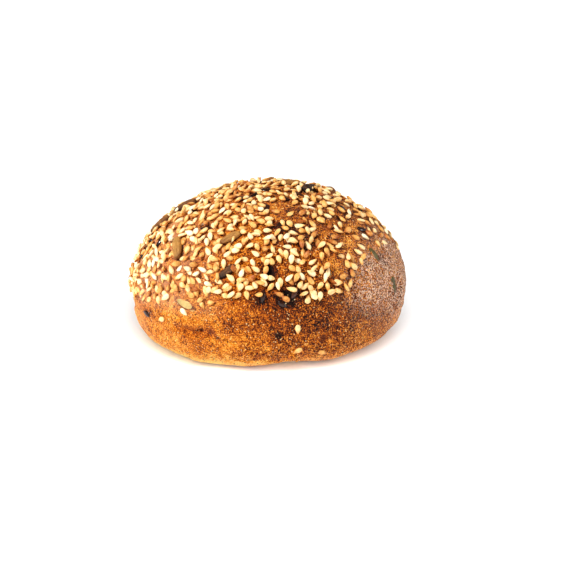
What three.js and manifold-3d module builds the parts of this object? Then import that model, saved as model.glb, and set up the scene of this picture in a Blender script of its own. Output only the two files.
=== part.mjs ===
// A seeded bread roll: one baked dough body, with sunflower kernels, pumpkin seeds, linseeds and
// stray sesame seeds set into shallow sockets in its crust.
// Millimetres, +Z up. The table is Z = 0, the roll's front faces -Y, and the origin is on the table
// under the middle of the roll. Azimuth runs anticlockwise from +X, seen from above. Latitude is 0
// round the belly, the widest section, and 90 degrees at the top.

import * as THREE from "three";
import { mergeVertices } from "three/addons/utils/BufferGeometryUtils.js";
import Module from "manifold-3d";

const wasm = await Module();
wasm.setup();

// ---- Driving dimensions ----

const WIDTH = 100.5; // across X, at the belly
const DEPTH = 91; // across Y, at the belly
const HEIGHT = 58.8; // from the table to the top of the crust
const BELLY_HEIGHT = 21.5; // from the table to the belly
const BELLY_DEPTH = 21.9; // from the belly down to where the round underside would end
const UNDERSIDE_POWER = 4; // 2 is an ellipse, and more gives a squarer lower edge
const LEAN = 1; // degrees that the roll leans to its left as it rests

const AROUND = 56; // facets round the dough body
const UP_DOME = 13; // rings from the belly to the top
const DOWN_UNDERSIDE = 8; // rings from the belly to the underside's middle

const SOCKET_GAP = 0.3; // clear space between a seed and its socket

// Broad swellings and hollows that proving and baking leave. Each is a smooth bump on the body:
// its azimuth and latitude, how wide it is in degrees, and how far it rises in millimetres.
const SWELLINGS = [
  { azimuth: 180, latitude: 48, spread: 24, rise: -0.9 }, // straight left shoulder
  { azimuth: 8, latitude: 12, spread: 24, rise: 1 }, // full right side
  { azimuth: -80, latitude: 3, spread: 15, rise: -0.9 }, // hollow under the front seed line
  { azimuth: -118, latitude: -10, spread: 10, rise: -1.1 }, // fold at the front, low on the left
  { azimuth: -128, latitude: -22, spread: 11, rise: 0.9 }, // lip below that fold
  { azimuth: -80, latitude: -30, spread: 13, rise: -2.4 }, // front foot, lifted off the table
  { azimuth: -20, latitude: -26, spread: 16, rise: -1.2 }, // tucked in at the lower right
  { azimuth: 120, latitude: 10, spread: 20, rise: 0.8 },
  { azimuth: 60, latitude: -8, spread: 14, rise: -0.7 },
  { azimuth: 85, latitude: 50, spread: 18, rise: -0.6 },
];

// The four kinds of seed. sink is the share of the thickness below the crust, and widest is how
// far along from the pointed end the widest place lies. around and rings count the facets.
const KINDS = {
  sunflower_kernel: {
    length: 9.4, width: 4, thickness: 3, sink: 0.22, widest: 0.6, around: 10, rings: 7,
  },
  pumpkin_seed: {
    length: 10.5, width: 4.8, thickness: 2.2, sink: 0.86, widest: 0.58, around: 10, rings: 7,
  },
  linseed: {
    length: 4.2, width: 2.2, thickness: 1.3, sink: 0.4, widest: 0.58, around: 8, rings: 5,
  },
  sesame_seed: {
    length: 3.3, width: 2.0, thickness: 1.0, sink: 0.38, widest: 0.62, around: 8, rings: 5,
  },
};

const FINISH = {
  loaf: { color: 0xc07a34, roughness: 0.62 },
  sunflower_kernel: { color: 0xa98a62, roughness: 0.6 },
  pumpkin_seed: { color: 0x76804c, roughness: 0.5 },
  linseed: { color: 0x3a2013, roughness: 0.25 },
  sesame_seed: { color: 0xf3dfb4, roughness: 0.5 },
};

// Where each seed lies: azimuth, latitude and twist in degrees. Twist turns the seed's length
// from level, anticlockwise as seen from outside. A fourth number is a small seed's size, as a
// share of its kind's.
const PLACES = {
  sunflower_kernel: [
    [-139.5, 35, 130],
    [-111, 45, 40, 0.82],
    [174, 53, 84],
    [180, 39, 92, 0.95],
    [22, 78, 77],
    [4, 72, 150],
    [150, 70, 115, 0.7],
    [-108, 27, 40, 0.7],
    [118, 48, 15],
    [88, 66, 120],
    [62, 42, 60],
    [38, 55, 160],
    [142, 30, 100],
    [96, 27, 40],
  ],
  pumpkin_seed: [
    [-126, 8, -14],
    [-31, 26, 103, 0.7],
    [-25, 5, 84, 0.85],
    [72, 12, 150],
  ],
  linseed: [
    [-150, -1, -5],
    [-171, 30, 75],
    [-169, 24, 85],
    [-159, 34, 100],
    [-175, 43, 145],
    [-165, 56, 115],
    [-131, 49, 10],
    [-165, 76, 10],
    [-128, 73, 150],
    [-112, 78, 60],
    [100, 80, 150],
    [-84, 84, 170],
    [-90, 66, 77],
    [-64, 73, 145],
    [-33, 74, 107],
    [-7, 61, 67],
    [-20, 55, 18],
    [-26, 41, 150],
    [-92, 14, 80, 0.85],
    [-84, 10, 147, 0.85],
    [-79, 15, 56, 0.85],
    [84, 40, 100],
    [110, 62, 50],
    [160, 20, 10],
    [30, 36, 70],
    [130, 14, 140],
  ],
  sesame_seed: [
    [-78, -1, 92],
    [-139, -1, 19],
    [-148, 4, 43],
    [-126, 3, 145],
    [-78, -15, 34],
    [-67, -20, 166],
    [-23, 31, 80],
    [-16, 29, 150],
    [-2, 21, 130],
    [40, 6, 120],
    [104, 3, 80],
    [155, -5, 45],
  ],
};

// ---- The dough body ----

const radians = THREE.MathUtils.degToRad;

function directionOf(azimuth, latitude) {
  return new THREE.Vector3().setFromSphericalCoords(1, Math.PI / 2 - latitude, azimuth + Math.PI / 2)
    .applyAxisAngle(new THREE.Vector3(1, 0, 0), Math.PI / 2);
}

// How far the swellings push the crust out in a direction from the middle of the belly.
function swellingAlong(direction) {
  let rise = 0;
  for (const bump of SWELLINGS) {
    const centre = directionOf(radians(bump.azimuth), radians(bump.latitude));
    const away = direction.angleTo(centre) / radians(bump.spread);
    rise += bump.rise * Math.exp(-away * away);
  }
  return rise;
}

// The swellings are uneven, so the belly's middle is set a little off to centre the finished roll.
const BELLY_CENTRE = new THREE.Vector3(-0.3, -0.3, BELLY_HEIGHT);
const LEAN_AXIS = new THREE.Vector3(0, -1, 0);

// A point on the crust. Above the belly the section is half an ellipse, and below it a squarer
// curve that the table cuts off.
function crustPoint(azimuth, latitude) {
  const above = latitude >= 0;
  const power = above ? 1 : 2 / UNDERSIDE_POWER;
  const reach = Math.abs(Math.cos(latitude)) ** power;
  const climb = Math.abs(Math.sin(latitude)) ** power;
  const point = new THREE.Vector3(
    (WIDTH / 2) * reach * Math.cos(azimuth),
    (DEPTH / 2) * reach * Math.sin(azimuth),
    climb * (above ? HEIGHT - BELLY_HEIGHT : -BELLY_DEPTH),
  );
  const outward = point.clone().normalize();
  point.addScaledVector(outward, swellingAlong(outward));
  return point.applyAxisAngle(LEAN_AXIS, radians(LEAN)).add(BELLY_CENTRE);
}

// The level direction, the uphill direction and the outward normal at a place on the crust.
function crustAxes(azimuth, latitude) {
  const step = radians(1);
  const level = crustPoint(azimuth + step, latitude).sub(crustPoint(azimuth - step, latitude)).normalize();
  const rise = crustPoint(azimuth, latitude + step).sub(crustPoint(azimuth, latitude - step));
  const normal = level.clone().cross(rise).normalize();
  return { level, uphill: normal.clone().cross(level), normal };
}

// A lathe turned about +Z, with every vertex then moved onto the crust. The lathe's own profile
// only carries each ring's latitude, so its vertices are placed by ring and by facet.
function doughGeometry() {
  const latitudes = [];
  for (let i = 0; i <= DOWN_UNDERSIDE; i++) latitudes.push((i / DOWN_UNDERSIDE - 1) * (Math.PI / 2));
  for (let i = 1; i <= UP_DOME; i++) latitudes.push((i / UP_DOME) * (Math.PI / 2));
  const profile = latitudes.map((a) => new THREE.Vector2(Math.max(Math.cos(a), 0), Math.sin(a)));
  const geometry = new THREE.LatheGeometry(profile, AROUND);
  const position = geometry.getAttribute("position");
  for (let i = 0; i < position.count; i++) {
    const facet = Math.floor(i / latitudes.length) % AROUND;
    const point = crustPoint((facet / AROUND) * 2 * Math.PI, latitudes[i % latitudes.length]);
    position.setXYZ(i, point.x, point.y, point.z);
  }
  return geometry;
}

// ---- Seeds ----

// A flattened drop along Y, pointed at its lower end and blunt at its upper end, with its
// thickness along Z. grow makes it larger all round.
function seedGeometry({ length, width, thickness, widest, around, rings }, grow = 0) {
  const skew = Math.log(0.5) / Math.log(widest);
  const profile = [];
  for (let i = 0; i <= rings; i++) {
    const along = i / rings;
    const isEnd = i === 0 || i === rings;
    const radius = isEnd ? 0 : Math.sin(Math.PI * along ** skew) ** 0.75;
    profile.push(new THREE.Vector2(radius, along - 0.5));
  }
  return new THREE.LatheGeometry(profile, around)
    .scale(width / 2 + grow, length + 2 * grow, thickness / 2 + grow);
}

function shapeOf(kind, share = 1) {
  const { length, width, thickness, ...rest } = KINDS[kind];
  return { length: length * share, width: width * share, thickness: thickness * share, ...rest };
}

function seedMesh(name, kind, shape, [azimuth, latitude, twist]) {
  const at = [radians(azimuth), radians(latitude)];
  const { level, uphill, normal } = crustAxes(...at);
  const along = level.multiplyScalar(Math.cos(radians(twist)))
    .addScaledVector(uphill, Math.sin(radians(twist)));
  const across = along.clone().cross(normal);
  const mesh = new THREE.Mesh(seedGeometry(shape), material(kind));
  mesh.name = name;
  mesh.quaternion.setFromRotationMatrix(new THREE.Matrix4().makeBasis(across, along, normal));
  mesh.position.copy(crustPoint(...at)).addScaledVector(normal, (0.5 - shape.sink) * shape.thickness);
  mesh.updateMatrix();
  return mesh;
}

// ---- Cutting ----

function solidOf(geometry) {
  const bare = geometry.clone();
  bare.deleteAttribute("normal");
  bare.deleteAttribute("uv");
  const merged = mergeVertices(bare, 1e-3);
  return new wasm.Manifold(
    new wasm.Mesh({
      numProp: 3,
      vertProperties: merged.getAttribute("position").array,
      triVerts: new Uint32Array(merged.index.array),
    }),
  );
}

function geometryOf(solid) {
  const { vertProperties, triVerts } = solid.getMesh();
  const geometry = new THREE.BufferGeometry()
    .setAttribute("position", new THREE.BufferAttribute(vertProperties, 3))
    .setIndex(new THREE.BufferAttribute(triVerts, 1));
  geometry.computeVertexNormals();
  return geometry;
}

// The dough body, flat where it meets the table, with a socket for each seed.
function loafMesh(seeds) {
  const table = new THREE.BoxGeometry(2 * WIDTH, 2 * DEPTH, HEIGHT).translate(0, 0, -HEIGHT / 2);
  let body = solidOf(doughGeometry()).subtract(solidOf(table));
  for (const { mesh, shape } of seeds) {
    const socket = seedGeometry(shape, SOCKET_GAP).applyMatrix4(mesh.matrix);
    body = body.subtract(solidOf(socket));
  }
  const mesh = new THREE.Mesh(geometryOf(body), material("loaf"));
  mesh.name = "loaf";
  return mesh;
}

// ---- The roll ----

const materials = new Map();

function material(name) {
  if (!materials.has(name)) {
    materials.set(name, new THREE.MeshStandardMaterial({ ...FINISH[name], metalness: 0 }));
  }
  return materials.get(name);
}

function breadRoll() {
  const seeds = [];
  for (const [kind, places] of Object.entries(PLACES)) {
    places.forEach((place, i) => {
      const name = `${kind}_${String(i + 1).padStart(2, "0")}`;
      const shape = shapeOf(kind, place[3]);
      seeds.push({ shape, mesh: seedMesh(name, kind, shape, place) });
    });
  }
  const roll = new THREE.Group();
  roll.add(loafMesh(seeds), ...seeds.map((seed) => seed.mesh));
  return roll;
}

export default breadRoll();
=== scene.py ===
"""A seeded bread roll: its rough baked crust, its cap of sesame seeds and its larger seeds.

Everything is in metres, in the frame of the CAD model. Azimuth runs anticlockwise from +X, seen from
above. Latitude is 0 degrees round the belly, the roll's widest section, and 90 at its top.
"""

import math

import bpy
import numpy as np
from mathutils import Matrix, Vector, noise
from mathutils.kdtree import KDTree
from mathutils.bvhtree import BVHTree


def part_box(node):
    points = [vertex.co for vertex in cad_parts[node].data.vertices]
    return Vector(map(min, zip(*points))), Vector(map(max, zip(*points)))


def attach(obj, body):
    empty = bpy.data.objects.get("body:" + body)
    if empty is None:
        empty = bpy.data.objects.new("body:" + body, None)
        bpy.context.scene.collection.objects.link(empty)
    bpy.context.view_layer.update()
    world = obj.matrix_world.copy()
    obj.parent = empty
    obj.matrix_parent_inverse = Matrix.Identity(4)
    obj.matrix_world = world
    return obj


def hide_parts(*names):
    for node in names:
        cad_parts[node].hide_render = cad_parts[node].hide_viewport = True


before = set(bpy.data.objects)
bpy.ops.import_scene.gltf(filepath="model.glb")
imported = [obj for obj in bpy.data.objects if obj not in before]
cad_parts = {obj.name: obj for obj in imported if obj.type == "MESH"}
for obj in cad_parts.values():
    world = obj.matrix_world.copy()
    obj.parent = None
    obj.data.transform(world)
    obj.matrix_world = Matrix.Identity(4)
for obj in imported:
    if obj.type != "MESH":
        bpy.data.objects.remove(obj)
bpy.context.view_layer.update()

MM = 0.001
rng = np.random.default_rng(20)

# ---- The roll's measures, from the frame ----

LOW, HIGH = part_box("loaf")
HALF_WIDTH = (HIGH.x - LOW.x) / 2
HALF_DEPTH = (HIGH.y - LOW.y) / 2
HEIGHT = HIGH.z - LOW.z
BELLY_SHARE = 0.366  # the belly's height as a share of the roll's
BELLY = Vector(((LOW.x + HIGH.x) / 2, (LOW.y + HIGH.y) / 2, LOW.z + BELLY_SHARE * HEIGHT))
DOME = HIGH.z - BELLY.z

# ---- The crust's shape ----

CRUST_GRID = 128  # quads along each of the six sides of the crust's mesh
IRONING = 90  # rounds of smoothing that take out the CAD solid's facets
BRIDGING = 120  # rounds of smoothing that close its seed sockets
SOCKET_EDGE = 0.9 * MM  # how far beyond a seed the crust counts as its socket
UNDERSIDE = 0.05 * MM  # what lies below this is the flat spot that the roll rests on
UNDERSIDE_RISE = 0.3  # how much of its dents the flat spot keeps
CELL_MARGIN = 0.01  # round each cell of a bake map, as a share of the cell

# Wrinkles and grain of the skin: the size of one lump, how high it stands, and how much flatter
# it is than wide.
LUMPS = [(15 * MM, 0.5 * MM, 1), (6 * MM, 0.36 * MM, 1), (2.6 * MM, 0.2 * MM, 1.3)]
GRAINS = [(1.5 * MM, 0.13 * MM, 1), (0.9 * MM, 0.11 * MM, 1)]

# How rough the grain is: in the middle, how much more at the right edge and on the lumps, and its
# least and most.
ROUGH, RIGHT_ROUGH, LUMP_ROUGH, ROUGH_LIMITS = 0.75, 0.75, 0.5, (0.4, 1.8)

# Small pits in the crust: azimuth, latitude, radius and depth in millimetres. One of depth below 0
# is a crumb that stands out of it.
PITS = [
    (-80, -33, 1.5, -1.6),
    (-78, -36, 0.9, -1.2),
    (-99, -31, 1.3, -0.7),
    (-130.5, 11.2, 1.6, -0.6),
    (-126, 10.2, 1.7, -0.6),
    (-121.5, 9, 1.6, -0.6),
    (-28, 24, 2.0, 0.4),
    (-86, -13, 1.6, 0.9),
    (-119, -13, 0.8, 0.7),
    (-115, -16, 0.7, 0.6),
    (-111, -18, 0.8, 0.7),
    (-107, -18, 0.6, 0.5),
    (-52, 21, 1.4, 0.5),
    (-53, 9, 1.0, 0.45),
    (-90, 27, 2.0, 0.8),
    (-62, -8, 1.3, 0.4),
    (-68, -19, 1.2, 0.5),
    (-36, -8, 1.0, 0.4),
    (75, -5, 1.5, 0.6),
    (120, -12, 1.2, 0.7),
    (160, -14, 1.4, 0.6),
    (35, -12, 1.2, 0.6),
]

# Creases: the places they run through, their half width and depth in millimetres.
CREASES = [
    ([(-130, -13), (-125, -15), (-119, -14), (-114, -11)], 1.4, 0.6),
    ([(-126, -13), (-119, -15), (-112, -17)], 1.1, 0.4),
    ([(-104, -36), (-92, -38), (-80, -38)], 0.8, 0.5),
    ([(-62, -34), (-50, -31), (-41, -27)], 0.7, 0.4),
    ([(-106, -19), (-100, -24), (-96, -27)], 0.7, 0.35),
    ([(-18, 10), (-19, 3), (-21, -3), (-25, -7)], 0.9, 1.5),
    ([(-18, -4), (-21, -10)], 0.6, 0.5),
    ([(95, -14), (108, -17), (122, -16)], 1.3, 0.6),
    ([(25, -16), (45, -19), (60, -18)], 1.2, 0.5),
    ([(170, -18), (-175, -16), (-160, -19)], 1.3, 0.5),
]

# Scorched spots: azimuth, latitude, radius in millimetres and strength.
SCORCHES = [
    (-84, 53, 3.2, 0.75),
    (-72, 64, 2.6, 0.45),
    (-60, 62, 2.4, 0.4),
    (-90, 27, 3.2, 0.8),
    (-93, 13, 3.0, 0.7),
    (-82, 15, 4.0, 0.9),
    (-63, 11, 3.5, 0.15),
    (-53, 9, 1.2, 0.25),
    (-28, 24, 2.6, 0.7),
    (-52, 22, 1.8, 0.45),
    (-72, 47, 4.0, 0.4),
    (-38, 55, 3.0, 0.35),
    (-70, 40, 3.0, 0.4),
    (-20, 0, 3.0, 0.5),
    (-118, -12, 4.0, 0.25),
    # These five, low on the front, are painted shade: the dark gap under the lifted lip.
    (-98, -49, 2.4, 0.8),
    (-90, -49, 2.6, 0.9),
    (-81, -48, 2.6, 1.0),
    (-72, -47, 2.6, 1.0),
    (-63, -46, 2.4, 0.8),
    (60, 50, 4.0, 0.4),
    (120, 35, 4.0, 0.35),
    (30, 20, 4.0, 0.4),
]

SCORCH_RAGGED = 0.5  # how much the lumps of the crust fray a scorched spot
# The painted shade in pits and creases, darker the deeper they are. A crumb comes out paler.
PIT_SHADE, CREASE_SHADE = 0.7, 0.2  # for each millimetre of depth
PIT_FOCUS = 1.1  # how much narrower a pit's painted shade is than the pit

# The raised shoulders of a crease: their height as a share of its depth, and how far out they lie, in
# half widths of the crease.
SHOULDER_HEIGHT, SHOULDER_OUT = 0.35, 1.8

# Floury spots strewn with pale specks that are painted glints: azimuth, latitude, radius in mm.
DUST_AND_GLINT_SPOTS = [
    (-42, 14, 10),
    (-24, 12, 12),
    (-12, 24, 10),
    (-14, -4, 8),
    (140, -6, 12),
    (70, -4, 10),
]

# How brown the crust is, from 0, pale gold, to 1, black: in the middle, and how much more at the right
# edge, on its lumps, between the cap's seeds and round the belly. Its lower lip is less brown. The
# right edge's and the seeds' are painted shade; round the belly it is part browning, part painted
# shade, most at the right.
BROWN, RIGHT_PAINTED_SHADE, LUMP_BROWNS = 0.44, 0.11, (0.12, 0.11, 0.08)
PAINTED_SHADE_AMONG_SEEDS, BELLY_BROWN_AND_SHADE, LIP_BROWN = 0.34, 0.17, -0.38
BELLY_LATITUDE, BELLY_SPREAD = -1, 17  # degrees
LIP_HEIGHT, LIP_WANDER, LIP_SPREAD = 0.06, 0.03, 0.05  # as shares of the roll's height

# The painted highlight on the left, a pale sheen painted into the crust's colour where the key light
# falls and at the outermost edge: between which distances to the left, as shares of the half width,
# and between which latitudes it fades in, and between which distances the outermost edge does. Its
# strength, how much the lumps vary that, and what the edge adds.
SHEEN_LEFT, SHEEN_LATITUDE, SHEEN_EDGE = (0.25, 0.75), (-3, 7), (0.8, 1)
SHEEN, LUMP_SHEEN, EDGE_SHEEN = 0.8, 0.5, 0.35

DUST_AND_GLINT_UNEVEN = 0.5  # how much the lumps vary the floury bloom and its painted glints
UNDER_LATITUDE = (45, 70)  # degrees below the belly between which the floury underside fades in

# The crust's colours, from the palest to the most scorched.
CRUST_STOPS = [
    (0.0, (255, 214, 116)),
    (0.2, (248, 166, 50)),
    (0.38, (222, 122, 22)),
    (0.55, (166, 76, 8)),
    (0.72, (84, 34, 6)),
    (0.95, (16, 6, 3)),
]
# The colours over them: the bloom and its pale specks, which are painted glints, the painted sheen,
# bran, pricks and the underside's flour.
BLOOM, PAINTED_GLINT, PAINTED_SHEEN_COLOUR = (190, 96, 60), (255, 220, 192), (240, 186, 148)
BRAN, PRICK, FLOUR = (255, 220, 160), (58, 22, 6), (232, 205, 165)
SOFT_LIGHT = (255, 204, 186)  # what the crust's fuzz scatters at its outline

# ---- The seeds' forms, looks and rims ----

# Seeds' forms. grid is the number of quads along each of the six sides of a seed's mesh, blunt is 0.5
# for round ends and less for squarer ones, taper is how much narrower the pointed end is, lens how
# much the faces meet in an edge, and ridges and ridge the number and height of ridges along it.
# uneven and lump say how far and in what size of lump it departs from an even shape.
FORMS = {
    "sesame_seed": dict(
        grid=5, blunt=0.5, taper=0.62, lens=0.25, ridges=1, ridge=0.0, uneven=0.07, lump=1.2 * MM,
    ),
    "sunflower_kernel": dict(
        grid=18, blunt=0.28, taper=0.2, lens=0.1, ridges=3, ridge=0.12, uneven=0.12, lump=2.2 * MM,
    ),
    "pumpkin_seed": dict(
        grid=16, blunt=0.45, taper=0.45, lens=0.3, ridges=1, ridge=-0.08, uneven=0.05, lump=3 * MM,
    ),
    "linseed": dict(
        grid=10, blunt=0.45, taper=0.5, lens=0.3, ridges=1, ridge=0.0, uneven=0.04, lump=1.5 * MM,
    ),
}

THIN_POWER = 0.6  # how a seed's thickness follows its width towards the pointed end

# Seeds' looks: colours from the palest to the most toasted, how much more toasted the pointed end is,
# how much longer than wide the grain's streaks are, the roughness, how deep the grain is in
# millimetres, and its size.
LOOKS = {
    "sesame_seed": dict(
        stops=[
            (0.0, (255, 240, 208)), (0.35, (252, 222, 168)), (0.65, (238, 180, 98)), (1.0, (172, 94, 32)),
        ],
        tip=0.25, streak=2.0, roughness=0.5, bump_depth=0.05, fine=0.3,
    ),
    "sunflower_kernel": dict(
        stops=[(0.0, (228, 184, 116)), (0.35, (188, 136, 66)), (0.65, (126, 78, 30)), (1.0, (40, 20, 8))],
        tip=0.15, streak=7.0, roughness=0.6, bump_depth=0.35, fine=0.36,
    ),
    "pumpkin_seed": dict(
        stops=[(0.0, (206, 176, 112)), (0.4, (120, 106, 50)), (0.7, (68, 60, 26)), (1.0, (26, 22, 10))],
        tip=0.15, streak=2.5, roughness=0.5, bump_depth=0.1, fine=0.5,
    ),
    "linseed": dict(
        stops=[(0.0, (110, 66, 46)), (0.4, (56, 31, 22)), (0.7, (28, 15, 11)), (1.0, (12, 7, 6))],
        tip=0.1, streak=1.5, roughness=0.22, bump_depth=0.02, fine=0.3,
    ),
}

# How toasted single large seeds are. The others vary at random about a mean.
TOASTS = {
    "sunflower_kernel_01": 0.36,
    "sunflower_kernel_02": 0.42,
    "sunflower_kernel_03": 0.7,
    "sunflower_kernel_04": 0.6,
    "sunflower_kernel_05": 0.5,
    "sunflower_kernel_06": 0.95,
    "sunflower_kernel_07": 0.45,
    "sunflower_kernel_08": 0.8,
    "pumpkin_seed_01": 0.02,
    "pumpkin_seed_02": 0.55,
    "pumpkin_seed_03": 0.6,
}
TOAST_MEAN, TOAST_SPREAD = 0.45, 0.15

# The crust's rim round a large seed: where its crest lies as a share of the seed's outline, its
# height as a share of half the seed's thickness, how dark the ring of painted shade round it is,
# and how far the crust rises up the seed at least, as the same share.
RIMS = {
    "sunflower_kernel": (1.25, 0.3, 0.55, 0),
    "pumpkin_seed": (1.12, 0.42, 0.6, 0.72),
    "linseed": (1.25, 0.3, 0.3, 0),
}

# How wide the crest is, where the ring of painted shade lies and how wide it is, and how wide the
# crust's rise is, as shares of the seed's outline.
CREST_WIDTH, SHADE_RING, SHADE_RING_WIDTH, SWELL_WIDTH = 0.2, 1.05, 0.25, 1.3
SEAT_DEPTH = 0.4  # the hollow under a seed that isn't sunk, as a share of half its thickness
MOST_SUNK = 0.95  # how far the crust rises up a seed at most, as the same share
SEED_REACH = 4 * MM  # how far above or below its middle a seed shapes the crust

# ---- The sesame cap's measures ----

SESAME_SPOTS = 9000  # places tried
LEAST_GAP = 1.75 * MM  # between the middles of two seeds' ends that lie side by side
PILED_GAP = 0.85 * MM  # the same for a seed that lies partly on another
THIN_GAP = 0.7  # how much wider the least gap is where the seeds are scarce

# A cap seed's size against a stray one's, across, along and outward: its mean and its spread.
CAP_SHARES, CAP_SPREADS = (0.94, 1.05, 1.15), (0.08, 0.08, 0.15)
JITTER = 0.15  # how far a seed strays from the middle of its quad, in millimetres
# How a seed leans, as the spread of its tilt and roll in radians, and how high its middle is over the
# crust as a share of half its thickness: for a seed that lies on the crust, and on another seed.
FLAT_LEAN, FLAT_RISE = (0.12, 0.2), 0.45
PILED_LEAN, PILED_RISE = (0.35, 0.5), 1.7
# How toasted it is: in the middle, how much more at the right edge, which is painted shade, and the spread.
CAP_TOAST, RIGHT_SEED_SHADE, CAP_TOAST_SPREAD = 0.48, 0.07, 0.2
INSET = 1.0 * MM  # how far inside a larger seed's outline the cap's seeds may lie

# The cap's lower edge: azimuth and latitude.
CAP_EDGE = [
    (-180, -3), (-165, -1), (-150, 1), (-135, 4), (-120, 5), (-98, 13), (-77, 11), (-62, 13), (-51, 18),
    (-40, 27), (-22, 34), (-8, 28), (5, 20), (40, 15), (80, 13), (120, 9), (150, 2), (180, -3),
]
EDGE_WANDER, EDGE_FADE = 2.5, 7  # degrees
EDGE_LUMP = 7 * MM  # over which the edge wanders

# How thickly the seeds lie, from 0 to 1, how much less so at the right edge, how far to the left that
# goes on, and how bare the bare spots are.
DENSITY, RIGHT_THINNER, THICKEST, BARENESS = 0.78, 0.38, -0.3, 0.93

# How often they pile up, how much less so at the right edge, how much that varies, over what size of
# lump, and its least and most.
PILING, RIGHT_FEWER_PILED, PILING_VARIES = 0.45, 0.5, 0.3
PILING_LUMP, PILING_LIMITS = 12 * MM, (0.04, 0.85)

# What each does to the crust, in millimetres: the depth and radius of the dip under it, the height,
# distance and width of the low rim round it, and the radius of the painted shade round it, painted
# as a browner crust.
DIP_DEPTH, DIP_RADIUS = 0.18, 1.5
LOW_RIM, LOW_RIM_OUT, LOW_RIM_WIDTH = 0.14, 2.0, 0.6
SHADE_AMONG_SEEDS_RADIUS = 1.9

# Spots with few seeds: azimuth, latitude, radius in millimetres.
BARE_SPOTS = [
    (-77, 60, 7.5), (-70, 66, 5), (-98, 40, 5), (-86, 30, 3.5), (-57, 45, 4.5), (-45, 38, 5),
    (-163, 44, 4), (-138, 24, 4), (-30, 48, 4), (-60, 28, 3.5), (-36, 30, 6), (60, 62, 6),
    (110, 40, 5), (20, 30, 6), (150, 50, 5),
]

# ---- Meshes ----


def cube_sphere(grid):
    """Unit directions over a sphere, its quads, and a map of the six sides, one cell each."""
    bend = np.tan(np.linspace(-1, 1, grid + 1) * math.pi / 4)
    a, b = np.meshgrid(np.arange(grid + 1), np.arange(grid + 1), indexing="ij")
    keys, maps = [], []
    for side in range(6):
        axis, end = divmod(side, 2)
        steps = np.empty((grid + 1, grid + 1, 3), int)
        steps[..., axis] = end * grid
        steps[..., (axis + 1) % 3] = a if end else b
        steps[..., (axis + 2) % 3] = b if end else a
        keys.append((steps[..., 0] * (grid + 1) + steps[..., 1]) * (grid + 1) + steps[..., 2])
        cell = np.stack([a, b], -1) / grid * (1 - 2 * CELL_MARGIN) + CELL_MARGIN
        maps.append((cell + (side % 3, side // 3)) / (3, 2))
    unique, ids = np.unique(np.array(keys), return_inverse=True)
    ids = ids.reshape(6, grid + 1, grid + 1)
    steps = np.stack([unique // (grid + 1) ** 2, unique // (grid + 1) % (grid + 1), unique % (grid + 1)], -1)
    points = bend[steps]
    points /= np.linalg.norm(points, axis=1, keepdims=True)
    quads = corners_of(ids).reshape(-1, 4)
    return points, quads, corners_of(np.array(maps)).reshape(-1, 4, 2)


def corners_of(values):
    """The four corner values of each cell of six square grids."""
    return np.stack([values[:, :-1, :-1], values[:, 1:, :-1], values[:, 1:, 1:], values[:, :-1, 1:]], 3)


def make_piece(name, points, quads, bake_map, attributes, material):
    """A smooth mesh object of quads, with its bake map and its attributes."""
    mesh = bpy.data.meshes.new(name)
    mesh.vertices.add(len(points))
    mesh.vertices.foreach_set("co", np.asarray(points, np.float32).ravel())
    mesh.loops.add(quads.size)
    mesh.loops.foreach_set("vertex_index", quads.astype(np.int32).ravel())
    mesh.polygons.add(len(quads))
    mesh.polygons.foreach_set("loop_start", np.arange(0, quads.size, 4, dtype=np.int32))
    mesh.update(calc_edges=True)
    mesh.polygons.foreach_set("use_smooth", np.ones(len(quads), bool))
    mesh.uv_layers.new(name="OFBake").data.foreach_set("uv", bake_map.astype(np.float32).ravel())
    for key, values in attributes.items():
        kind, field = ("FLOAT", "value") if values.ndim == 1 else ("FLOAT_VECTOR", "vector")
        mesh.attributes.new(key, kind, "POINT").data.foreach_set(field, values.astype(np.float32).ravel())
    mesh.validate()
    mesh.materials.append(material)
    piece = bpy.data.objects.new(name, mesh)
    bpy.context.scene.collection.objects.link(piece)
    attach(piece, "root")
    return piece


def normals_of(points, quads):
    """The unit normals at the points of a mesh of quads."""
    corner = points[quads]
    across = np.cross(corner[:, 2] - corner[:, 0], corner[:, 3] - corner[:, 1])
    total = np.zeros_like(points)
    for i in range(4):
        for axis in range(3):
            total[:, axis] += np.bincount(quads[:, i], across[:, axis], len(points))
    return total / np.linalg.norm(total, axis=1, keepdims=True)


def neighbours_of(quads):
    """Each edge once, as two arrays of point numbers."""
    ends = np.sort(np.concatenate([quads[:, [i, (i + 1) % 4]] for i in range(4)]), axis=1)
    return np.unique(ends, axis=0).T


def smoothed(values, edges, rounds):
    """Values at the points, each moved half way to its neighbours' mean, so many times."""
    a, b = edges
    count = np.bincount(a, minlength=len(values)) + np.bincount(b, minlength=len(values))
    for _ in range(rounds):
        total = np.bincount(a, values[b], len(values)) + np.bincount(b, values[a], len(values))
        values = (values + total / count) / 2
    return values


def noise_at(points, size, flatter=1):
    """Smooth noise from about -1 to 1, with lumps of a size, flatter than wide."""
    scaled = points / size * (1, 1, flatter)
    return np.array([noise.noise(p) for p in scaled])


# ---- Curves ----


def hump(value, middle=0, width=1):
    """1 where a value is at a middle, falling smoothly to 0 on either side of it."""
    return np.exp(-((value - middle) / width) ** 2)


def plateau(value, width=1):
    """1 near 0, falling steeply to 0 at about a width."""
    return np.exp(-(value / width) ** 4)


def ramped(value, start, end):
    """0 up to a start, and rising evenly to 1 at an end."""
    return np.clip((value - start) / (end - start), 0, 1)


# ---- Places on the body ----


def direction_to(azimuth, latitude):
    """The direction from the belly's middle to an azimuth and a latitude in degrees."""
    u, v = math.radians(azimuth), math.radians(latitude)
    climb = DOME if latitude >= 0 else BELLY.z - LOW.z
    return Vector((
        HALF_WIDTH * math.cos(v) * math.cos(u), HALF_DEPTH * math.cos(v) * math.sin(u), climb * math.sin(v)
    )).normalized()


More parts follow.
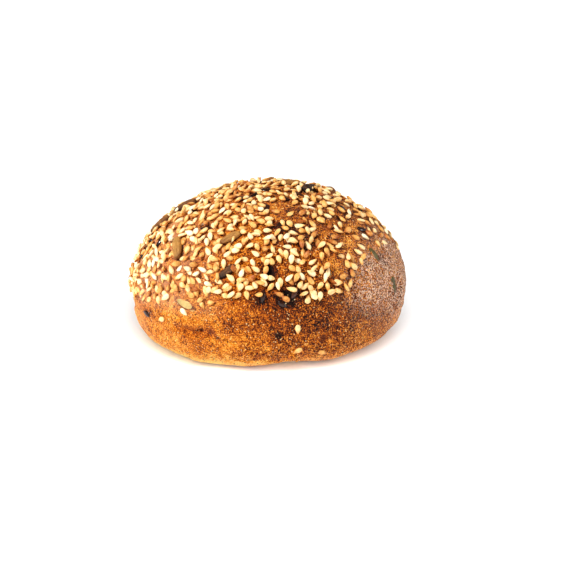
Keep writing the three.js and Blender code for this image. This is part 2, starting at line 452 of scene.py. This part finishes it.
def azimuth_latitude(points):
    """The azimuths and latitudes of points on the body, in degrees."""
    away = points - np.array(BELLY)
    azimuth = np.degrees(np.arctan2(away[:, 1] / HALF_DEPTH, away[:, 0] / HALF_WIDTH))
    climb = np.where(away[:, 2] > 0, DOME, BELLY.z - LOW.z)
    latitude = np.degrees(np.arcsin(np.clip(away[:, 2] / climb, -1, 1)))
    return azimuth, latitude


def side_of(points):
    """How far to the right points are, from -1 to 1."""
    return (points[:, 0] - BELLY.x) / HALF_WIDTH


def gap_to(points, place, radius):
    """How far points are from a place on the body, as a share of a radius in millimetres."""
    return np.linalg.norm(points - body.place(*place), axis=1) / (radius * MM)


class Body:
    """The roll's ironed body, before its skin is roughened."""

    def __init__(self):
        self.directions, self.quads, self.bake_map = cube_sphere(CRUST_GRID)
        self.edges = neighbours_of(self.quads)
        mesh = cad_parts["loaf"].data
        faces = [list(face.vertices) for face in mesh.polygons]
        loaf = BVHTree.FromPolygons([vertex.co for vertex in mesh.vertices], faces)
        points = np.array([loaf.ray_cast(BELLY, Vector(d))[0] for d in self.directions.tolist()])
        rests = points[:, 2] < LOW.z + UNDERSIDE
        socketed = np.zeros(len(points), bool)
        for node in seed_nodes():
            middle, axes, halves = cad_seed(node)
            offset = (points - middle) @ axes.T
            beside = np.linalg.norm(offset[:, :2] / (halves[:2] + SOCKET_EDGE), axis=1) < 1
            socketed |= beside & (np.abs(offset[:, 2]) < SEED_REACH)
        reach = np.linalg.norm(points - np.array(BELLY), axis=1)
        for _ in range(BRIDGING):
            reach[socketed] = smoothed(reach, self.edges, 1)[socketed]
        reach = smoothed(reach, self.edges, IRONING)
        self.points = np.array(BELLY) + self.directions * reach[:, None]
        self.points[:, 2] = np.where(rests, LOW.z, np.maximum(self.points[:, 2], LOW.z))
        self.normals = normals_of(self.points, self.quads)
        self.tree = BVHTree.FromPolygons(self.points.tolist(), self.quads.tolist())

    def place(self, azimuth, latitude):
        """The point at an azimuth and a latitude."""
        return np.array(self.tree.ray_cast(BELLY, direction_to(azimuth, latitude))[0])


def seed_nodes():
    """The names of the CAD nodes that are seeds."""
    return [node for node in sorted(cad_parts) if kind_of(node) in FORMS]


def kind_of(node):
    """The kind of seed a node is, which is its name without its number."""
    return node.rsplit("_", 1)[0]


# ---- Seeds ----


class Seeds:
    """Seeds of one kind: their middles, axes (across, along, outward), half sizes and toasting."""

    def __init__(self, kind):
        self.kind = kind
        self.middles, self.axes, self.halves, self.toasts = [], [], [], []

    def add(self, middle, axes, halves, toast):
        self.middles.append(middle)
        self.axes.append(axes)
        self.halves.append(halves)
        self.toasts.append(toast)

    def __len__(self):
        return len(self.middles)

    def piece(self, name, material):
        """All of the seeds as one piece."""
        form, quads, flat_map = seed_form(self.kind)
        count, size = len(self), len(form)
        halves, axes = np.array(self.halves), np.array(self.axes)
        local = form[None] * halves[:, None]
        # Each seed lies in a stretch of the noise of its own, so that no two are alike.
        shift = np.arange(count)[:, None, None] * 3 * np.abs(halves).max()
        lumps = noise_at((local + shift).reshape(-1, 3), FORMS[self.kind]["lump"])
        local = local * (1 + FORMS[self.kind]["uneven"] * lumps.reshape(count, size, 1))
        points = np.array(self.middles)[:, None] + np.einsum("nvk,nki->nvi", local, axes)
        columns = math.ceil(math.sqrt(count))
        cells = np.stack([np.arange(count) % columns, np.arange(count) // columns], -1)
        seed_map = (flat_map[None] + cells[:, None, None]) / columns
        attributes = {
            "form": np.tile(form, (count, 1)),
            "local": (local + shift).reshape(-1, 3) / MM,
            "toast": np.repeat(np.array(self.toasts, float), size),
        }
        points, seed_map = points.reshape(-1, 3), seed_map.reshape(-1, 4, 2)
        all_quads = (quads[None] + np.arange(count)[:, None, None] * size).reshape(-1, 4)
        return make_piece(name, points, all_quads, seed_map, attributes, material)


def seed_form(kind):
    """A seed with half sizes of 1: X across, Y along from its pointed end, and Z outward."""
    form = FORMS[kind]
    points, quads, _ = cube_sphere(form["grid"])
    x, y, z = points.T
    full = np.maximum(1 - y * y, 1e-6) ** (form["blunt"] - 0.5)
    x, z = x * full, z * full
    toward_tip = (1 - y) / 2
    narrow = 1 - form["taper"] * toward_tip ** 2
    x = x * narrow
    z = z * narrow ** THIN_POWER
    z = z * (1 - form["lens"] * np.abs(x) ** 2)
    ridge = form["ridge"] * np.cos(x * math.pi * form["ridges"]) * (1 - y * y)
    z = z + np.sign(z) * ridge * np.abs(z)
    shaped = np.stack([x, y, z], -1)
    shaped /= np.abs(shaped).max(0)
    return shaped, quads, seed_map_of(shaped, quads)


def seed_map_of(points, quads):
    """A bake map for one seed: its outward side fills most of a cell, and its inward side a strip."""
    corner = points[quads]
    above = corner[..., 2].mean(1) > 0
    across, along = corner[..., 0] / 2 + 0.5, corner[..., 1] / 2 + 0.5
    margin, inward, outward = 0.03, 0.21, 0.69
    u = margin + (1 - 2 * margin) * along
    v = np.where(above[:, None], 1 - margin - outward + outward * across, margin + inward * across)
    return np.stack([u, v], -1)


def cad_seed(node):
    """A CAD seed's middle, its axes and its half sizes."""
    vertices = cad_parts[node].data.vertices
    points = np.unique(np.round([vertex.co for vertex in vertices], 6), axis=0)
    centre = points.mean(0)
    axes = np.linalg.svd(points - centre)[2]
    along, outward = axes[0], axes[2]
    if outward @ (centre - np.array(BELLY)) < 0:
        outward = -outward
    # along has to run from the pointed end to the wide one.
    spots = (points - centre) @ np.array([np.cross(along, outward), along]).T
    if (spots[:, 1] * spots[:, 0] ** 2).sum() < 0:
        along = -along
    axes = np.array([np.cross(along, outward), along, outward])
    spans = points @ axes.T
    middle = (spans.min(0) + spans.max(0)) / 2 @ axes
    return middle, axes, (spans.max(0) - spans.min(0)) / 2


def inner_spots(middle, axes, halves):
    """Points over a seed's outline, inset a little, for keeping the cap's seeds off it."""
    inset = np.maximum(halves - INSET, 0)
    return [
        middle + axes[0] * inset[0] * s + axes[1] * inset[1] * t
        for s in (-0.8, 0, 0.8)
        for t in np.linspace(-0.9, 0.9, 5)
    ]


# ---- The sesame cap ----


def cap_density(points):
    """How thickly the seeds lie at points on the body, from 0 to 1, and how often they pile up."""
    azimuth, latitude = azimuth_latitude(points)
    edge = np.interp(azimuth, *zip(*CAP_EDGE)) + EDGE_WANDER * noise_at(points, EDGE_LUMP)
    inside = np.clip((latitude - edge) / EDGE_FADE, 0, 1)
    side = side_of(points)
    density = inside ** 0.5 * (DENSITY - RIGHT_THINNER * np.clip(side, THICKEST, 1))
    for *place, radius in BARE_SPOTS:
        density *= 1 - BARENESS * plateau(gap_to(points, place, radius))
    piling = PILING - RIGHT_FEWER_PILED * side + PILING_VARIES * noise_at(points, PILING_LUMP)
    return density, np.clip(piling, *PILING_LIMITS) * inside


def lying_axes(normal, twist):
    """Across, along and outward for a seed that lies flat on the crust."""
    level = np.cross((0, 0, 1), normal)
    level /= np.linalg.norm(level)
    along = level * math.cos(twist) + np.cross(normal, level) * math.sin(twist)
    return np.array([np.cross(along, normal), along, normal])


def scatter_cap(taken):
    """The cap's sesame seeds: those that lie on the crust, and those that lie partly on others."""
    _, _, usual = cad_seed("sesame_seed_01")
    corner = body.points[body.quads]
    middles = corner.mean(1)
    normals = normals_of(body.points, body.quads)[body.quads].mean(1)
    area = np.linalg.norm(np.cross(corner[:, 2] - corner[:, 0], corner[:, 3] - corner[:, 1]), axis=1)
    density, piling = cap_density(middles)
    weight = area * density
    chosen = rng.choice(len(middles), SESAME_SPOTS, p=weight / weight.sum())
    flat_spots, piled_spots = np.array(taken), np.empty((0, 3))
    seeds = Seeds("sesame_seed")
    for i in chosen:
        spot = middles[i] + rng.normal(0, JITTER, 3) * MM
        normal = normals[i] / np.linalg.norm(normals[i])
        axes = lying_axes(normal, rng.uniform(0, 2 * math.pi))
        halves = usual * rng.normal(CAP_SHARES, CAP_SPREADS)
        ends = spot + np.outer((-1, 1), axes[1]) * (halves[1] - halves[0])
        gap = least_gap(ends, flat_spots)
        thin = LEAST_GAP * (1 + THIN_GAP * (1 - density[i]))
        # Seeds towards the right are darker: painted shade on the side away from the key light.
        toast = CAP_TOAST + RIGHT_SEED_SHADE * (spot[0] - BELLY.x) / HALF_WIDTH + rng.normal(0, CAP_TOAST_SPREAD)
        if gap >= thin:
            axes = tilted(axes, *rng.normal(0, FLAT_LEAN))
            seeds.add(spot + normal * halves[2] * FLAT_RISE, axes, halves, toast)
            flat_spots = np.vstack([flat_spots, ends])
        elif gap >= PILED_GAP and rng.random() < piling[i] and least_gap(ends, piled_spots) > LEAST_GAP:
            axes = tilted(axes, *rng.normal(0, PILED_LEAN))
            seeds.add(spot + normal * halves[2] * PILED_RISE, axes, halves, toast)
            piled_spots = np.vstack([piled_spots, ends])
    return seeds


def tilted(axes, tilt, roll):
    """Axes turned about across by tilt, and then about along by roll."""
    across, along, outward = axes
    along, outward = turned(along, outward, tilt)
    across, outward = turned(across, outward, roll)
    return np.array([across, along, outward])


def turned(first, second, angle):
    """Two axes turned about the third, the first towards the second."""
    c, s = math.cos(angle), math.sin(angle)
    return first * c + second * s, second * c - first * s


def least_gap(ends, spots):
    """The least distance from either end to any spot."""
    if len(spots) == 0:
        return math.inf
    return np.linalg.norm(ends[:, None] - spots[None], axis=2).min()


# ---- The crust ----


def crust_piece(cap, large_seeds, material):
    """The baked skin: its lumps, grain, pits and creases, the rims round seeds, and its browning, with
    the shade and highlights painted into its colour.
    """
    points = body.points
    _, latitude = azimuth_latitude(points)
    side = side_of(points)
    coarse = [noise_at(points, size, flatter) for size, _, flatter in LUMPS]
    rise = sum(high * lump for (_, high, _), lump in zip(LUMPS, coarse))
    rough = np.clip(ROUGH + RIGHT_ROUGH * side + LUMP_ROUGH * coarse[1], *ROUGH_LIMITS)
    for size, high, flatter in GRAINS:
        rise += rough * high * noise_at(points, size, flatter)
    # The real scorches, and painted shade in pits, creases, round large seeds and under the front lip.
    scorch_and_shade = np.zeros(len(points))
    mark_spots(points, coarse[2], rise, scorch_and_shade)
    seat_large_seeds(points, large_seeds, rise, scorch_and_shade)
    seeded = seat_cap(points, cap, rise)

    dust_and_glints = sum(hump(gap_to(points, place, radius)) for *place, radius in DUST_AND_GLINT_SPOTS)
    # A painted highlight: a pale sheen painted into the colour on the left side and its outermost edge.
    painted_highlight = ramped(-side, *SHEEN_LEFT) * ramped(latitude, *SHEEN_LATITUDE) * (SHEEN + LUMP_SHEEN * coarse[1])
    painted_highlight += EDGE_SHEEN * ramped(-side, *SHEEN_EDGE)
    attributes = {
        "brown": np.clip(browning(points, coarse, seeded), 0, 1),
        "scorch_and_shade": np.clip(scorch_and_shade, 0, 1),
        "rough": rough,
        "under": ramped(-latitude, *UNDER_LATITUDE),
        "dust_and_glints": np.clip(dust_and_glints * (1 + DUST_AND_GLINT_UNEVEN * coarse[1]), 0, 1),
        "painted_highlight": np.clip(painted_highlight, 0, 1),
    }
    rests = points[:, 2] < LOW.z + UNDERSIDE
    rise[rests] = np.minimum(rise[rests], 0) * UNDERSIDE_RISE
    shaped = points + body.normals * rise[:, None]
    shaped[:, 2] = np.maximum(shaped[:, 2], LOW.z)
    piece = make_piece("crust", shaped, body.quads, body.bake_map, attributes, material)
    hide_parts("loaf")
    return piece


def mark_spots(points, uneven, rise, scorch_and_shade):
    """Add scorched spots, pits and creases to how high the crust rises and how dark it is, with
    painted shade in the pits and creases.
    """
    for *place, radius, strength in SCORCHES:
        gap = gap_to(points, place, radius)
        scorch_and_shade += strength * np.exp(-gap ** 2 * (1 + SCORCH_RAGGED * uneven))
    for *place, radius, depth in PITS:
        gap = gap_to(points, place, radius)
        rise -= depth * MM * hump(gap)
        # Painted shade in the pit, darker the deeper the pit; a crumb, of depth below 0, is paler.
        scorch_and_shade += PIT_SHADE * depth * hump(gap * PIT_FOCUS)
    for path, half_width, depth in CREASES:
        gap = distance_to_path(points, [body.place(*place) for place in path]) / (half_width * MM)
        rise += depth * MM * (SHOULDER_HEIGHT * hump(gap, SHOULDER_OUT) - hump(gap))
        # Painted shade in the crease, darker the deeper it is.
        scorch_and_shade += CREASE_SHADE * depth * hump(gap)


def seat_large_seeds(points, large_seeds, rise, scorch_and_shade):
    """Add the rims round the large seeds, the hollows under them, and rings of painted shade."""
    for kind, middle, axes, halves in large_seeds:
        crest, collar, ring_shade, least_sunk = RIMS[kind]
        offset = (points - middle) @ axes.T
        outline = np.linalg.norm(offset[:, :2] / halves[:2], axis=1)
        near = np.abs(offset[:, 2]) < SEED_REACH
        nearest, normal, _, _ = body.tree.find_nearest(middle)
        sunk = np.clip((np.array(nearest) - middle) @ np.array(normal) / halves[2], 0, MOST_SUNK)
        swell = max(least_sunk - sunk, 0)
        sunk += swell
        ring = outline / math.sqrt(1 - sunk ** 2)
        rim = collar * hump(ring, crest, CREST_WIDTH) + swell * plateau(outline, SWELL_WIDTH)
        rise += near * halves[2] * (rim - SEAT_DEPTH * (1 - sunk) * plateau(ring))
        # A ring of painted shade round the seed, where the crust meets it.
        scorch_and_shade += near * ring_shade * hump(ring, SHADE_RING, SHADE_RING_WIDTH)


def seat_cap(points, cap, rise):
    """Add the dips under the cap's seeds and the low rims round them, and say how near they are."""
    tree = KDTree(len(cap))
    for i, middle in enumerate(cap.middles):
        tree.insert(middle, i)
    tree.balance()
    gap = np.array([tree.find(p)[2] for p in points.tolist()]) / MM
    low_rim = LOW_RIM * hump(gap, LOW_RIM_OUT, LOW_RIM_WIDTH)
    rise += MM * (low_rim - DIP_DEPTH * hump(gap, 0, DIP_RADIUS))
    # Near the seeds the crust gets painted shade, painted as a browner crust.
    return hump(gap, 0, SHADE_AMONG_SEEDS_RADIUS)


def browning(points, coarse, seeded):
    """How brown the crust is, with seeded telling how near the cap's seeds are. Darker at the right
    and among the seeds: painted shade; round the belly, part painted shade.
    """
    side = side_of(points)
    _, latitude = azimuth_latitude(points)
    height = (points[:, 2] - LOW.z) / HEIGHT
    lip = hump(height, LIP_HEIGHT + LIP_WANDER * coarse[0], LIP_SPREAD)
    belly = hump(latitude, BELLY_LATITUDE, BELLY_SPREAD)
    # The right edge's and the seeds' terms are painted shade; the belly's, weighted right, partly so.
    return (
        BROWN + RIGHT_PAINTED_SHADE * side + sum(more * lump for more, lump in zip(LUMP_BROWNS, coarse))
        + PAINTED_SHADE_AMONG_SEEDS * seeded * np.clip(0.6 + 0.7 * side, 0.2, 1)
        + LIP_BROWN * lip * np.clip(0.9 - side, 0.2, 1)
        + BELLY_BROWN_AND_SHADE * belly * np.clip(0.8 + 1.5 * side, 0, 1)
    )


def distance_to_path(points, path):
    """How far each point is from a path of straight stretches."""
    nearest = np.full(len(points), math.inf)
    for start, end in zip(path, path[1:]):
        run = end - start
        share = np.clip((points - start) @ run / (run @ run), 0, 1)
        nearest = np.minimum(nearest, np.linalg.norm(points - start - share[:, None] * run, axis=1))
    return nearest


# ---- Materials ----


class Shader:
    """A material whose nodes are added one by one. Lengths in it are millimetres."""

    def __init__(self, name):
        self.material = bpy.data.materials.new(name)
        self.material.use_nodes = True
        self.tree = self.material.node_tree
        self.surface = self.tree.nodes["Principled BSDF"]

    def add(self, kind, inputs, output=0, **settings):
        """A new node's output. Each input is a plain value or another node's output."""
        node = self.tree.nodes.new("ShaderNode" + kind)
        for key, value in settings.items():
            setattr(node, key, value)
        for key, value in inputs.items():
            self.put(node.inputs[key], value)
        return node.outputs[output]

    def put(self, socket, value):
        """Give a socket a plain value or link another node's output to it."""
        if isinstance(value, bpy.types.NodeSocket):
            self.tree.links.new(value, socket)
        else:
            socket.default_value = value

    def finish(self, **inputs):
        """The material, with its surface's inputs set. Their names have _ for a space."""
        for key, value in inputs.items():
            self.put(self.surface.inputs[key.replace("_", " ")], value)
        return self.material

    def attribute(self, name, output="Fac"):
        return self.add("Attribute", {}, output, attribute_name=name)

    def math(self, operation, a, b):
        return self.add("Math", {0: a, 1: b}, operation=operation)

    def total(self, base, *terms):
        """base plus each value times its weight."""
        for value, weight in terms:
            base = self.add("Math", {0: value, 1: weight, 2: base}, operation="MULTIPLY_ADD")
        return base

    def noise(self, where, size, detail=2.0, roughness=0.6):
        """Noise from 0 to 1 with lumps of a size."""
        inputs = {"Vector": where, "Scale": 1 / size, "Detail": detail, "Roughness": roughness}
        return self.add("TexNoise", inputs)

    def ramp(self, value, stops):
        """A colour that runs through stops, each a position and an sRGB colour."""
        node = self.tree.nodes.new("ShaderNodeValToRGB")
        self.put(node.inputs[0], value)
        while len(node.color_ramp.elements) < len(stops):
            node.color_ramp.elements.new(0.5)
        for element, (position, colour) in zip(node.color_ramp.elements, stops):
            element.position = position
            element.color = linear(colour)
        return node.outputs[0]

    def spread(self, value, low, high):
        """A value from low to high stretched to 0 to 1 and clamped."""
        return self.add("MapRange", {"Value": value, "From Min": low, "From Max": high})

    def centred(self, noise_value):
        """Noise about 0 instead of 0.5."""
        return self.math("SUBTRACT", noise_value, 0.5)

    def cells(self, where, size):
        """The distance to the nearest of points strewn about as far apart as a size, as a share of it."""
        return self.add("TexVoronoi", {"Vector": where, "Scale": 1 / size, "Randomness": 1.0})

    def overlay(self, colour, mask, most, over):
        """A colour with an sRGB one over it, where a mask is, and never by more than a share."""
        share = self.math("MULTIPLY", mask, most)
        return self.add("Mix", {0: share, 6: colour, 7: linear(over)}, 2, data_type="RGBA")

    def bump(self, height, distance):
        """A surface that stands a distance higher where the height is 1."""
        return self.add("Bump", {"Height": height, "Distance": distance * MM, "Strength": 1.0})


def linear(colour):
    """An sRGB colour from 0 to 255 as a linear one with alpha."""
    share = np.array(colour) / 255
    return (*np.where(share < 0.04, share / 12.92, ((share + 0.055) / 1.055) ** 2.4), 1)


def crust_material():
    """Baked dough: gold to scorched brown, with a fine sandy grain, flecks and pricks, and painted light
    and shade: pale specks painted as glints, a painted sheen at the left, and painted shade.
    """
    s = Shader("crust")
    where = s.add("VectorMath", {0: s.add("TexCoord", {}, "Object"), 1: (1 / MM,) * 3}, operation="MULTIPLY")
    blotch = s.noise(where, 4.5, detail=3.0)
    mottle = s.noise(where, 1.4, detail=3.0, roughness=0.7)
    grain = s.noise(where, 0.55, detail=3.0, roughness=0.85)
    rough, dust_and_glints = s.attribute("rough"), s.attribute("dust_and_glints")
    sandy = s.math("MULTIPLY", s.centred(grain), s.total(0.9, (rough, 1.3), (dust_and_glints, 0.7)))
    # Darker with the scorches and with the painted shade in hollows, round seeds and under the lip.
    tone = s.total(
        s.attribute("brown"), (s.attribute("scorch_and_shade"), 0.6), (s.centred(blotch), 0.55),
        (s.centred(mottle), 0.65), (sandy, 1.45),
    )
    colour = s.overlay(s.ramp(tone, CRUST_STOPS), dust_and_glints, 0.24, BLOOM)
    floury = s.noise(where, 0.6, detail=2.0, roughness=0.8)
    painted_glints = s.spread(s.total(-0.15, (floury, 1.0), (mottle, 0.3)), 0.5, 0.56)
    # Pale specks within the floury spots: painted glints of light on the rough crust.
    colour = s.overlay(colour, s.math("MULTIPLY", painted_glints, dust_and_glints), 0.95, PAINTED_GLINT)
    # The painted highlight: a pale sheen painted over the left side and its edge.
    colour = s.overlay(colour, s.attribute("painted_highlight"), 0.48, PAINTED_SHEEN_COLOUR)
    flecks = s.spread(s.cells(where, 1.1), 0.28, 0.18)
    some = s.spread(s.noise(where, 1.0, detail=0.0), 0.54, 0.58)
    colour = s.overlay(colour, s.math("MULTIPLY", flecks, some), 0.8, BRAN)
    pricks = s.math("MULTIPLY", s.spread(s.cells(where, 1.5), 0.24, 0.14), s.spread(mottle, 0.38, 0.48))
    colour = s.overlay(colour, pricks, 0.85, PRICK)
    dust = s.math("MULTIPLY", s.attribute("under"), s.spread(blotch, 0.35, 0.7))
    colour = s.overlay(colour, dust, 0.45, FLOUR)
    return s.finish(
        Base_Color=colour,
        Roughness=s.spread(s.total(0.0, (mottle, 0.5), (grain, 0.5)), -0.4, 0.9),
        Specular_IOR_Level=0.22,
        Sheen_Weight=0.2,
        Sheen_Roughness=0.35,
        Sheen_Tint=linear(SOFT_LIGHT),
        Normal=s.bump(s.total(grain, (mottle, 0.9), (pricks, -0.6)), 0.7),
    )


def seed_material(kind, stops, tip, streak, roughness, bump_depth, fine):
    """A seed's skin, streaked along its length, and more toasted at its tip and round its rim."""
    s = Shader(kind)
    local = s.attribute("local", "Vector")
    y, z = (s.add("SeparateXYZ", {0: s.attribute("form", "Vector")}, axis) for axis in "YZ")
    lengthwise = s.add("VectorMath", {0: local, 1: (1, 1 / streak, 1)}, operation="MULTIPLY")
    grain = s.noise(lengthwise, fine, detail=3.0, roughness=0.65)
    patch = s.noise(local, fine * 4, detail=2.0)
    to_tip = s.spread(y, 0.1, -1.0)
    rim = s.spread(s.math("ABSOLUTE", z, 0.0), 0.55, 0.05)
    tone = s.total(
        s.attribute("toast"), (to_tip, tip), (rim, 0.12), (s.centred(grain), 0.5), (s.centred(patch), 0.4),
    )
    return s.finish(
        Base_Color=s.ramp(tone, stops),
        Roughness=s.spread(s.total(roughness - 0.15, (grain, 0.3)), 0.0, 1.0),
        Normal=s.bump(grain, bump_depth),
    )


# ---- The roll ----


def build_roll():
    """The large and stray seeds, the cap's seeds, and the crust they sit in."""
    materials = {kind: seed_material(kind, **look) for kind, look in LOOKS.items()}
    taken, large_seeds = [], []
    for node in seed_nodes():
        kind = kind_of(node)
        middle, axes, halves = cad_seed(node)
        seeds = Seeds(kind)
        seeds.add(middle, axes, halves, TOASTS.get(node, rng.normal(TOAST_MEAN, TOAST_SPREAD)))
        piece = seeds.piece("shaped_" + node, materials[kind])
        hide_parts(node)
        taken += inner_spots(middle, axes, halves)
        if kind != "sesame_seed":
            large_seeds.append((kind, middle, axes, halves))
    cap = scatter_cap(taken)
    side = np.array(cap.middles)[:, 0] - BELLY.x
    for name, chosen in split_cap(cap, side):
        piece = chosen.piece(name, materials["sesame_seed"])
    crust_piece(cap, large_seeds, crust_material())


def split_cap(cap, side):
    """The cap's seeds in three pieces: left, middle and right."""
    thirds = np.quantile(side, (1 / 3, 2 / 3))
    group = np.digitize(side, thirds)
    for i, name in enumerate(("sesame_cap_left", "sesame_cap_middle", "sesame_cap_right")):
        chosen = Seeds(cap.kind)
        for j in np.flatnonzero(group == i):
            chosen.add(cap.middles[j], cap.axes[j], cap.halves[j], cap.toasts[j])
        yield name, chosen


# ---- Stage, lights and camera ----

VIEW_ELEVATION = 17  # degrees above level, from the front
VIEW_DISTANCE = 650 * MM
LOOKED_AT = Vector((5.4 * MM, -1.8 * MM, 22.2 * MM))
ORBIT_CENTRE = Vector((0, 0, 28 * MM))
LENS, SENSOR = 111.6, 36  # millimetres
NEAR, FAR = 0.05, 20  # metres, what the camera sees

FLOOR_SIZE = 12.0
FLOOR_GREY = 0.9
SKY = 0.13
WALLS = 0.75  # how bright the surroundings are at the level of the floor
WALL_TOP = (0.13, 0.3)  # the heights, as sines, between which the walls fade into the sky
SUNS = {  # azimuth it shines from, elevation, strength, angular size
    "key": (-148, 46, 3.3, 5),
    "fill": (-12, 25, 1.25, 30),
    "floor_light": (-90, 30, 6.8, 45),  # lights the floor only
}


def build_stage():
    """The floor, the surroundings and the suns."""
    mesh = bpy.data.meshes.new("floor")
    half = FLOOR_SIZE / 2
    corners = [(-half, -half, 0), (half, -half, 0), (half, half, 0), (-half, half, 0)]
    mesh.from_pydata(corners, [], [(0, 1, 2, 3)])
    floor = bpy.data.objects.new("floor", mesh)
    bpy.context.scene.collection.objects.link(floor)
    mesh.materials.append(Shader("floor").finish(Base_Color=(FLOOR_GREY,) * 3 + (1,), Roughness=0.8))

    world = bpy.data.worlds.new("studio")
    world.use_nodes = True
    world.node_tree.nodes["Background"].inputs["Color"].default_value = (1, 1, 1, 1)
    add, link = world.node_tree.nodes.new, world.node_tree.links.new
    height, fade = add("ShaderNodeSeparateXYZ"), add("ShaderNodeMapRange")
    link(add("ShaderNodeTexCoord").outputs["Generated"], height.inputs[0])
    link(height.outputs["Z"], fade.inputs["Value"])
    for socket, value in zip(("From Min", "From Max", "To Min", "To Max"), (*WALL_TOP, WALLS, SKY)):
        fade.inputs[socket].default_value = value
    link(fade.outputs[0], world.node_tree.nodes["Background"].inputs["Strength"])
    bpy.context.scene.world = world
    for name, (azimuth, elevation, strength, size) in SUNS.items():
        light = bpy.data.lights.new(name, "SUN")
        light.energy, light.angle = strength, math.radians(size)
        lamp = bpy.data.objects.new(name, light)
        lamp.rotation_mode = "QUATERNION"
        lamp.rotation_quaternion = towards(azimuth, elevation).to_track_quat("Z", "Y")
        bpy.context.scene.collection.objects.link(lamp)
        lit = bpy.data.collections.new("lit_by_" + name)
        lit.objects.link(floor)
        link_state = "INCLUDE" if name == "floor_light" else "EXCLUDE"
        lit.collection_objects[0].light_linking.link_state = link_state
        lamp.light_linking.receiver_collection = lit


def towards(azimuth, elevation):
    """The direction to an azimuth and an elevation in degrees."""
    u, v = math.radians(azimuth), math.radians(elevation)
    return Vector((math.cos(u) * math.cos(v), math.sin(u) * math.cos(v), math.sin(v)))


def build_camera():
    """The camera, in front of the roll and looking a little down at it."""
    data = bpy.data.cameras.new("camera")
    data.sensor_width, data.lens = SENSOR, LENS
    data.clip_start, data.clip_end = NEAR, FAR
    camera = bpy.data.objects.new("camera", data)
    camera.location = ORBIT_CENTRE + towards(-90, VIEW_ELEVATION) * VIEW_DISTANCE
    camera.rotation_mode = "QUATERNION"
    camera.rotation_quaternion = (LOOKED_AT - camera.location).to_track_quat("-Z", "Y")
    bpy.context.scene.collection.objects.link(camera)
    bpy.context.scene.camera = camera


body = Body()
build_camera()
build_stage()
build_roll()
bpy.context.scene.view_settings.view_transform = "Standard"
bpy.context.scene.view_settings.look = "Medium High Contrast"
